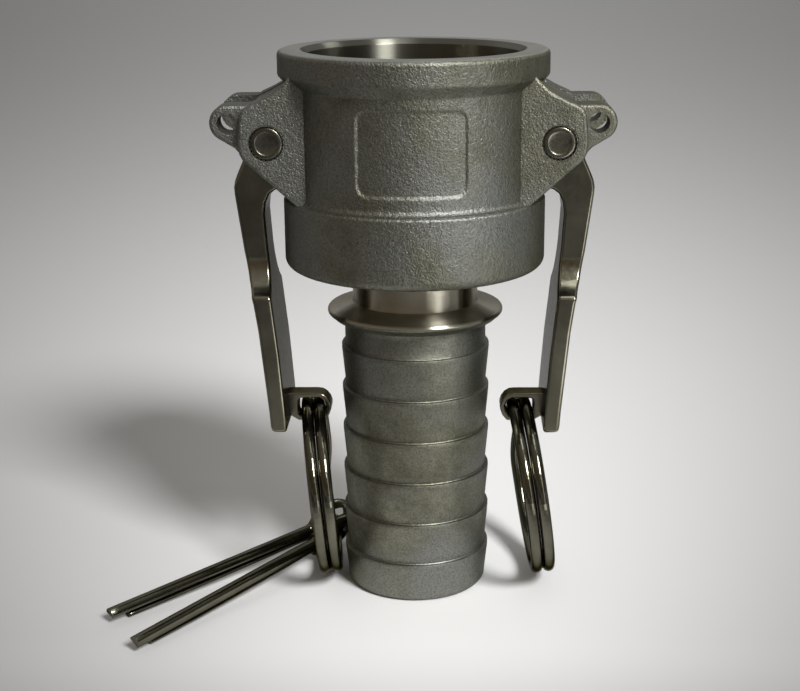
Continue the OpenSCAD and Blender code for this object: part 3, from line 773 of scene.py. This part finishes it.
def on_left_ring(angle):
    """The point of the left ring's middle line at an angle round the ring, in degrees."""
    lean, turn, q = math.radians(LEFT_LEAN), math.radians(LEFT_TURN), math.radians(angle)
    wy = RING_R * math.sin(q)
    wz = -RING_R - RING_R * math.cos(q)
    wa, wb = -wy * math.sin(turn), wy * math.cos(turn)
    return Vector((
        wa * math.cos(lean) + wz * math.sin(lean) - (PIVOT_X + EYE_AT[0]),
        wb,
        wz * math.cos(lean) - wa * math.sin(lean) + PIVOT_Z + EYE_AT[1],
    ))


def safety_pin(name, body, spread, angle, way, roll, inset, foot):
    """A split pin with its eye on the left ring and its longer leg's end at the foot's height."""
    up = Vector((0, 0, 1))
    frames = []
    for px, py, nx, ny in split_path(spread):
        frames.append(frame_at(Vector((px, py, 0)), Vector((nx, ny, 0)), up))
    bm = sweep(half_round(), frames)
    at = on_left_ring(angle)
    place = (
        Matrix.Translation(at)
        @ Matrix.Rotation(math.radians(way), 4, "Z")
        @ Matrix.Rotation(math.asin((at.z - foot) / SPLIT_LEN), 4, "Y")
        @ Matrix.Rotation(math.radians(roll), 4, "X")
        @ Matrix.Translation((*inset, 0))
    )
    bmesh.ops.transform(bm, matrix=place, verts=bm.verts)
    piece(name + "_wire", bm, body, name, WIRE_STEEL, 50)


# Camera
def camera():
    """The camera at the photo's viewing angle."""
    pitch, turn, roll = math.radians(16.37), math.radians(1.3), math.radians(0.35)
    away, high = 266.5, 124.04
    side = Vector((math.cos(turn), math.sin(turn), 0))
    level = Vector((-math.sin(turn), math.cos(turn), 0))
    ahead = level * math.cos(pitch) - Vector((0, 0, math.sin(pitch)))
    above = side.cross(ahead)
    right = side * math.cos(roll) - above * math.sin(roll)
    up = above * math.cos(roll) + side * math.sin(roll)
    data = bpy.data.cameras.new("photo_camera")
    data.sensor_width = 36
    data.lens = 67.59
    data.shift_x = -0.01925
    data.clip_start = 0.01
    cam = bpy.data.objects.new("photo_camera", data)
    cam.matrix_world = Matrix((
        (right.x, up.x, -ahead.x, away * math.sin(turn) * MM),
        (right.y, up.y, -ahead.y, -away * math.cos(turn) * MM),
        (right.z, up.z, -ahead.z, high * MM),
        (0, 0, 0, 1),
    ))
    bpy.context.scene.collection.objects.link(cam)
    bpy.context.scene.camera = cam


# Floor, room and lamps
def sun(name, side, rise, spread, power):
    """A soft distant lamp, side degrees right of the viewer and rise degrees up."""
    data = bpy.data.lights.new(name, "SUN")
    data.energy = power
    data.angle = math.radians(spread)
    obj = bpy.data.objects.new(name, data)
    a, e = math.radians(side), math.radians(rise)
    way = Vector((math.sin(a) * math.cos(e), -math.cos(a) * math.cos(e), math.sin(e)))
    obj.rotation_euler = way.to_track_quat("Z", "Y").to_euler()
    bpy.context.scene.collection.objects.link(obj)


def strip(name, width, length, place, aim, along, power):
    """A softbox that shows only in reflections, with its long side along a direction."""
    data = bpy.data.lights.new(name, "AREA")
    data.shape = "RECTANGLE"
    data.size, data.size_y = width, length
    data.energy = power
    obj = bpy.data.objects.new(name, data)
    back = (Vector(place) - Vector(aim)).normalized()
    across = Vector(along).cross(back).normalized()
    up = back.cross(across)
    obj.matrix_world = Matrix((
        (across.x, up.x, back.x, place[0]),
        (across.y, up.y, back.y, place[1]),
        (across.z, up.z, back.z, place[2]),
        (0, 0, 0, 1),
    ))
    obj.visible_diffuse = False
    obj.visible_camera = False
    bpy.context.scene.collection.objects.link(obj)


def floor_paper_painted_pool():
    """Grey paper whose colour holds a painted pool of light round the object, fading away to the front, the
    back and the sides.
    """
    mat, tree, shader = material("floor_paper_painted_pool")
    g = Graph(tree)
    floor_x, floor_y, _ = g.axes(g.where)
    x = g.math("SUBTRACT", floor_x, 0.004)
    y = g.math("ADD", floor_y, 0.027)
    behind = g.math("MAXIMUM", y, 0.0)
    before = g.math("MINIMUM", y, 0.0)
    far = g.math("ADD", g.math("DIVIDE", behind, 0.315), g.math("DIVIDE", before, 0.035))
    # painted light: a bright pool round the object, fading faster in front than behind
    painted_pool = g.math("DIVIDE", 0.656, g.math("ADD", g.math("MULTIPLY", far, far), 1.0))
    wide = g.math("ADD", g.math("MULTIPLY", behind, 0.439), 0.07)
    # painted light falling off towards the sides
    aside = g.math("MAXIMUM", g.math("MINIMUM", g.math("DIVIDE", x, wide), 1.0), -1.5)
    painted_falloff = g.math("ADD", g.math("MULTIPLY", aside, aside), 1.0)
    # painted light: the paper darker towards the front
    painted_ramp = g.spread(floor_y, -0.22, -0.06, 0.17, 0.232, smooth=True)
    grey = g.math("DIVIDE", g.math("ADD", painted_ramp, painted_pool), painted_falloff)
    g.link(g.math("MULTIPLY", grey, PAPER), shader.inputs["Base Color"])
    shader.inputs["Roughness"].default_value = 0.8
    shader.inputs["Specular IOR Level"].default_value = 0.1
    return mat


def surroundings():
    """A dim room: warm on the left, greyer on the right, pale high up behind."""
    world = bpy.data.worlds.new("studio")
    bpy.context.scene.world = world
    world.use_nodes = True
    tree = world.node_tree
    g = Graph(tree)
    x, y, z = g.axes(g.node("ShaderNodeTexCoord").outputs["Generated"])
    across = g.mix(g.spread(x, -0.6, 0.9), ROOM_LEFT, ROOM_RIGHT)
    room = g.mix(g.spread(z, 0.3, 1.0), across, ROOM_UP)
    behind = g.spread(y, 0.1, 0.5, smooth=True)
    over = g.spread(z, 0.1, 0.25, smooth=True)
    under = g.spread(z, 0.97, 0.85, smooth=True)
    band = g.math("MULTIPLY", behind, g.math("MULTIPLY", over, under))
    lit = g.mix(band, room, ROOM_BEHIND)
    # a grey haze along the horizon, where the floor ends
    haze = g.spread(z, 0.12, 0.05, smooth=True)
    g.link(g.mix(haze, lit, HORIZON), tree.nodes["Background"].inputs["Color"])


def studio():
    """The floor, the room, one soft sun and four softboxes for the metal's reflections."""
    bm = bmesh.new()
    bmesh.ops.create_grid(bm, x_segments=1, y_segments=1, size=20.0)
    mesh = bpy.data.meshes.new("floor")
    bm.to_mesh(mesh)
    bm.free()
    floor = bpy.data.objects.new("floor", mesh)
    bpy.context.scene.collection.objects.link(floor)
    mesh.materials.append(floor_paper_painted_pool())
    surroundings()
    sun("key", 37, 40, 17, 3.5)
    # a card on the table and a tall lamp, both at 44 degrees to the right, seen in upright walls
    a = math.radians(44)
    out = Vector((math.sin(a), -math.cos(a), 0))
    up = Vector((0, 0, 1))
    strip("card", 0.10, 0.36, out * 0.29 + up * 0.002, out * 0.29 + up, out, 0.26)
    strip("tall", 0.16, 0.36, out * 0.8 + up * 0.19, (0, 0, 0.06), up, 0.26)
    strip("high", 0.3, 0.3, (0.15, -0.25, 0.9), (0, 0, 0.06), out, 0.6)
    strip("rear", 0.2, 0.2, (0.48, 0.51, 0.72), (0, 0, 0.03), out, 0.5)


casting()
lever(1)
lever(-1)
lever_pin(1)
lever_pin(-1)
pull_ring("pull_ring_left", -1, LEFT_LEAN, LEFT_TURN, LEFT_START)
pull_ring("pull_ring_right", 1, RIGHT_LEAN, RIGHT_TURN, RIGHT_START)
safety_pin("safety_pin_1", "first_safety_pin", spread=0.25, angle=43, way=222.2, roll=75,
           inset=(-0.54, -1.71), foot=3.18)
safety_pin("safety_pin_2", "second_safety_pin", spread=1.0, angle=25.8, way=231.4, roll=55,
           inset=(0.26, 1.1), foot=0.86)

bpy.context.scene.view_settings.view_transform = "Standard"
camera()
studio()
